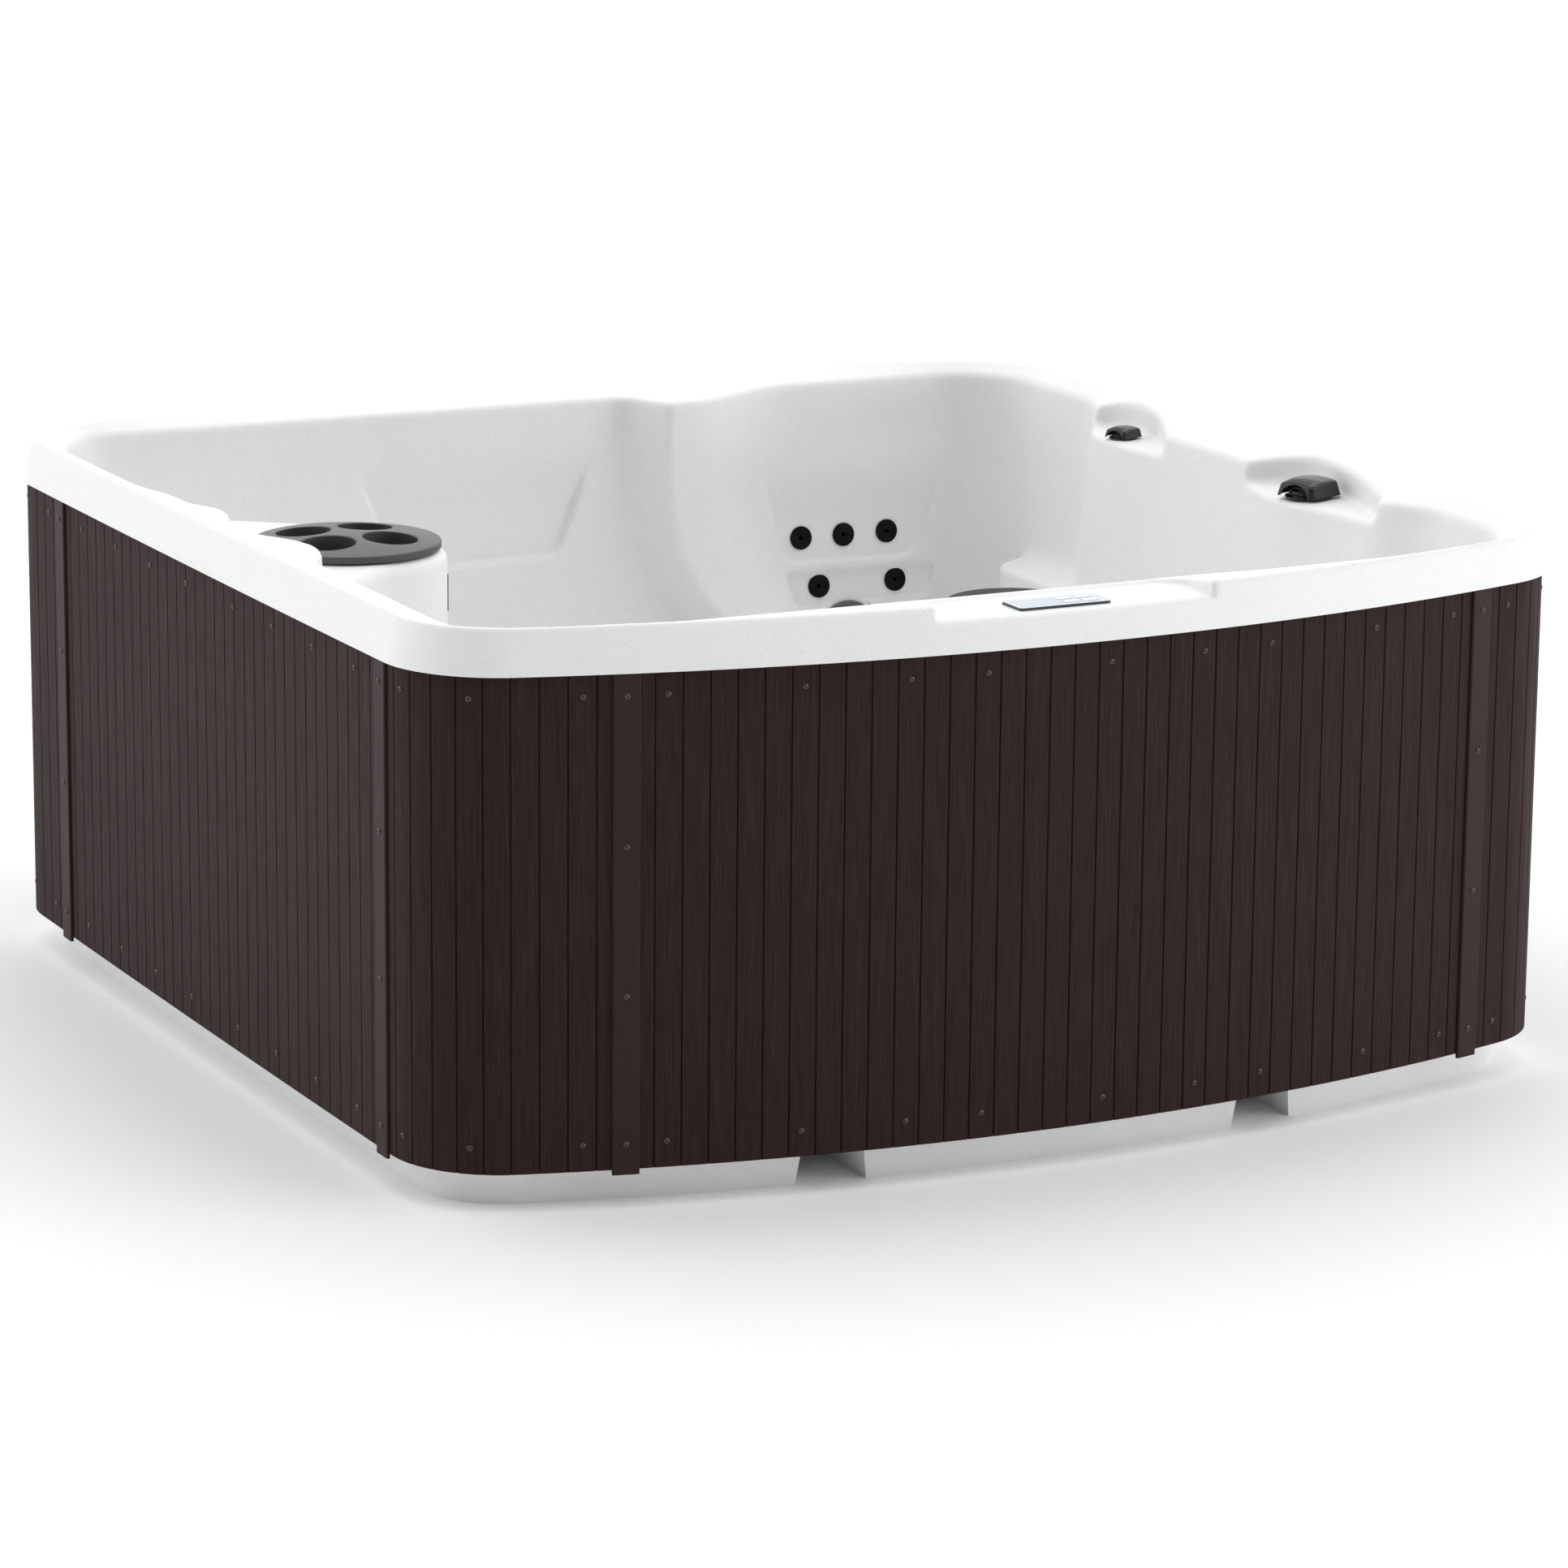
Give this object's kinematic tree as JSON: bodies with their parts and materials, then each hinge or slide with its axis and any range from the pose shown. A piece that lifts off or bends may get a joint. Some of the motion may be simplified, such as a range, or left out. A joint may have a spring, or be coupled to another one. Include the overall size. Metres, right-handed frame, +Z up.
{
  "type": "portable hot tub",
  "caption": "Square bow-fronted rotomoulded hot tub: white shell with seats and jets in a dark brown slatted cabinet on a white base pan.",
  "frame": {"origin": "centre of the footprint, on the floor", "axes": "+Z up, -Y is the front with the control pad and equipment bay, +X is the side with the spouts"},
  "size_m": [2, 2.1659, 0.886],
  "materials": {
    "white_shell": "rotomoulded white polyethylene with fine grey speckle",
    "brown_slats": "dark brown moulded slats with a wood grain",
    "brown_strip": "dark brown smooth satin cover strip",
    "dark_screws": "dark brown painted socket screws",
    "frame_wood": "sawn treated softwood",
    "foam": "rigid insulating foam",
    "dark_grey_plastic": "dark grey satin moulding",
    "white_plastic": "white moulded plastic",
    "filter_paper": "pleated polyester filter media",
    "bezel_plastic": "dark bezel",
    "display": "smoked clear window",
    "button_silver": "silver white push buttons",
    "circuit_board": "green circuit board",
    "gloss_black": "gloss black moulding",
    "satin_black": "satin dark grey moulding",
    "black_jets": "black satin jet fittings",
    "grey_cover": "grey moulded grating",
    "motor_metal": "black painted finned motor",
    "pump_plastic": "black glass filled plastic",
    "heater_steel": "stainless heater tube",
    "box_plastic": "grey moulded enclosure",
    "pipe_pvc": "white rigid pipe"
  },
  "bodies": {
    "tub": {"base_pan": "white_shell", "cabinet_screws": "dark_screws", "cable_gland": "pump_plastic", "control_bezel": "bezel_plastic", "control_box": "box_plastic", "display_window": "display", "drain_grate": "grey_cover", "drain_valve": "pump_plastic", "filter_housing": "dark_grey_plastic", "floor_slab": "foam", "frame_posts": "frame_wood", "heater_tube": "heater_steel", "jet_bodies": "black_jets", "keypad_board": "circuit_board", "panel_back": "brown_slats", "panel_corner_back_left": "brown_slats", "panel_corner_back_right": "brown_slats", "panel_corner_front_left": "brown_slats", "panel_corner_front_right": "brown_slats", "panel_front": "brown_slats", "panel_left": "brown_slats", "panel_right": "brown_slats", "pipework": "pipe_pvc", "pump_motor": "motor_metal", "pump_wet_end": "pump_plastic", "spout_bases": "gloss_black", "strip_back_left": "brown_strip", "strip_back_right": "brown_strip", "strip_front_left": "brown_strip", "strip_front_right": "brown_strip", "strip_left_back": "brown_strip", "strip_left_front": "brown_strip", "strip_right_back": "brown_strip", "strip_right_front": "brown_strip", "suction_cover_seat": "grey_cover", "suction_covers_footwell": "grey_cover", "top_rail": "frame_wood", "tub_shell": "white_shell"},
    "filter_cartridge": {"filter_cartridge": "filter_paper"},
    "drink_tray": {"drink_tray": "dark_grey_plastic", "tray_cups": "dark_grey_plastic"},
    "weir_door": {"weir_door": "dark_grey_plastic"},
    "ice_bucket": {"ice_bucket": "white_plastic"},
    "well_lid": {"well_lid": "dark_grey_plastic"},
    "spout_hood_rear": {"spout_hood_rear": "satin_black"},
    "spout_hood_front": {"spout_hood_front": "satin_black"},
    "drain_cap": {"drain_cap": "pump_plastic"},
    "button_jets": {"button_jets": "button_silver"},
    "button_light": {"button_light": "button_silver"},
    "button_warmer": {"button_warmer": "button_silver"},
    "button_cooler": {"button_cooler": "button_silver"},
    "jet_face_1": {"jet_face_1": "black_jets"},
    "jet_face_2": {"jet_face_2": "black_jets"},
    "jet_face_3": {"jet_face_3": "black_jets"},
    "jet_face_4": {"jet_face_4": "black_jets"},
    "jet_face_5": {"jet_face_5": "black_jets"},
    "jet_face_6": {"jet_face_6": "black_jets"},
    "jet_face_7": {"jet_face_7": "black_jets"},
    "jet_face_8": {"jet_face_8": "black_jets"},
    "jet_face_9": {"jet_face_9": "black_jets"}
  },
  "joints": [
    {"name": "cartridge_lift", "type": "slide", "parent": "tub", "child": "filter_cartridge", "axis": [0, 0, 1], "range_m": [0, 0.3]},
    {"name": "tray_lift", "type": "slide", "parent": "filter_cartridge", "child": "drink_tray", "axis": [0, 0, 1], "range_m": [0, 0.15]},
    {"name": "weir_swing", "type": "hinge", "parent": "tub", "child": "weir_door", "pos_m": [-0.551, 0.085, 0.708], "axis": [0, -1, 0], "range_deg": [0, 60]},
    {"name": "bucket_lift", "type": "slide", "parent": "tub", "child": "ice_bucket", "axis": [0, 0, 1], "range_m": [0, 0.25]},
    {"name": "lid_lift", "type": "slide", "parent": "ice_bucket", "child": "well_lid", "axis": [0, 0, 1], "range_m": [0, 0.12]},
    {"name": "hood_turn_rear", "type": "hinge", "parent": "tub", "child": "spout_hood_rear", "pos_m": [0.892, 0.355, 0.84], "axis": [0, 0, 1], "range_deg": [-25, 25]},
    {"name": "hood_turn_front", "type": "hinge", "parent": "tub", "child": "spout_hood_front", "pos_m": [0.893, -0.272, 0.84], "axis": [0, 0, 1], "range_deg": [-25, 25]},
    {"name": "drain_cap_turn", "type": "hinge", "parent": "tub", "child": "drain_cap", "pos_m": [0.98, -0.3, 0.15], "axis": [1, 0, 0], "continuous": true},
    {"name": "press_jets", "type": "slide", "parent": "tub", "child": "button_jets", "axis": [0, 0, -1], "range_m": [0, 0.001], "stiffness_N_per_m": 1500, "springref_m": -0.0006},
    {"name": "press_light", "type": "slide", "parent": "tub", "child": "button_light", "axis": [0, 0, -1], "range_m": [0, 0.001], "stiffness_N_per_m": 1500, "springref_m": -0.0006},
    {"name": "press_warmer", "type": "slide", "parent": "tub", "child": "button_warmer", "axis": [0, 0, -1], "range_m": [0, 0.001], "stiffness_N_per_m": 1500, "springref_m": -0.0006},
    {"name": "press_cooler", "type": "slide", "parent": "tub", "child": "button_cooler", "axis": [0, 0, -1], "range_m": [0, 0.001], "stiffness_N_per_m": 1500, "springref_m": -0.0006},
    {"name": "jet_turn_1", "type": "hinge", "parent": "tub", "child": "jet_face_1", "pos_m": [0.525, 0.89318, 0.584], "axis": [0, -0.9964, 0.0852], "continuous": true},
    {"name": "jet_turn_2", "type": "hinge", "parent": "tub", "child": "jet_face_2", "pos_m": [0.612, 0.89293, 0.584], "axis": [0, -0.9964, 0.0852], "continuous": true},
    {"name": "jet_turn_3", "type": "hinge", "parent": "tub", "child": "jet_face_3", "pos_m": [0.701, 0.89263, 0.584], "axis": [0, -0.9964, 0.0852], "continuous": true},
    {"name": "jet_turn_4", "type": "hinge", "parent": "tub", "child": "jet_face_4", "pos_m": [0.559, 0.8853, 0.493], "axis": [0, -0.9964, 0.0852], "continuous": true},
    {"name": "jet_turn_5", "type": "hinge", "parent": "tub", "child": "jet_face_5", "pos_m": [0.716, 0.88479, 0.493], "axis": [0, -0.9964, 0.0852], "continuous": true},
    {"name": "jet_turn_6", "type": "hinge", "parent": "tub", "child": "jet_face_6", "pos_m": [-0.64, -0.89079, 0.56], "axis": [0, 0.9964, 0.0852], "continuous": true},
    {"name": "jet_turn_7", "type": "hinge", "parent": "tub", "child": "jet_face_7", "pos_m": [-0.54, -0.89109, 0.56], "axis": [0, 0.9964, 0.0852], "continuous": true},
    {"name": "jet_turn_8", "type": "hinge", "parent": "tub", "child": "jet_face_8", "pos_m": [0.5, -0.89119, 0.56], "axis": [0, 0.9964, 0.0852], "continuous": true},
    {"name": "jet_turn_9", "type": "hinge", "parent": "tub", "child": "jet_face_9", "pos_m": [0.6, -0.89091, 0.56], "axis": [0, 0.9964, 0.0852], "continuous": true}
  ]
}
